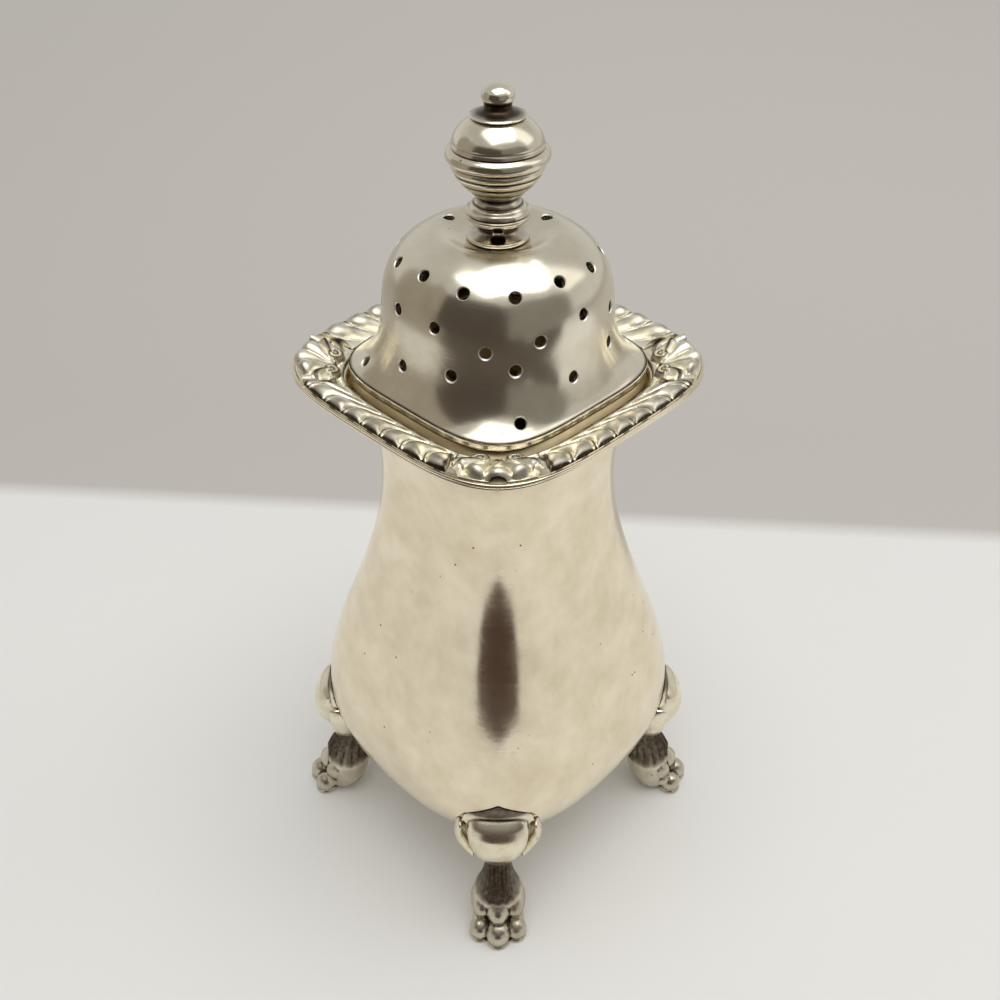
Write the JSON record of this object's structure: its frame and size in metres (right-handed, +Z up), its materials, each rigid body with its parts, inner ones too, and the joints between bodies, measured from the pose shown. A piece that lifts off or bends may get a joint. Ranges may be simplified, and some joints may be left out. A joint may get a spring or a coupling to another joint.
{
  "type": "salt shaker",
  "caption": "Square baluster salt shaker on paw feet, with a gadroon and shell rim and a lift-off pierced dome lid that carries a turned finial.",
  "frame": {"origin": "on the table, at the middle of the four feet", "axes": "+Z up through the finial; the vase's flat sides face X and Y, and its rounded corners and feet lie on the diagonals"},
  "size_m": [0.0544, 0.0544, 0.13],
  "materials": {
    "silver_plate": "soft polish with fine scratches and pits",
    "cast_silver": "polished high spots with dark tarnish in the recesses",
    "gilt": "satin, worn"
  },
  "bodies": {
    "vase": {"body_shell": "silver_plate", "base_plate": "silver_plate", "gadroon_border_right": "cast_silver", "gadroon_border_back": "cast_silver", "gadroon_border_left": "cast_silver", "gadroon_border_front": "cast_silver", "corner_shell_back_right": "cast_silver", "corner_shell_back_left": "cast_silver", "corner_shell_front_left": "cast_silver", "corner_shell_front_right": "cast_silver", "foot_back_right": "cast_silver", "foot_back_left": "cast_silver", "foot_front_left": "cast_silver", "foot_front_right": "cast_silver"},
    "lid": {"lid_dome": "silver_plate", "lid_bead": "silver_plate", "lid_skirt": "gilt", "finial": "silver_plate"}
  },
  "joints": [
    {"name": "lid_lift", "type": "slide", "parent": "vase", "child": "lid", "axis": [0, 0, 1], "range_m": [0, 0.03]}
  ]
}
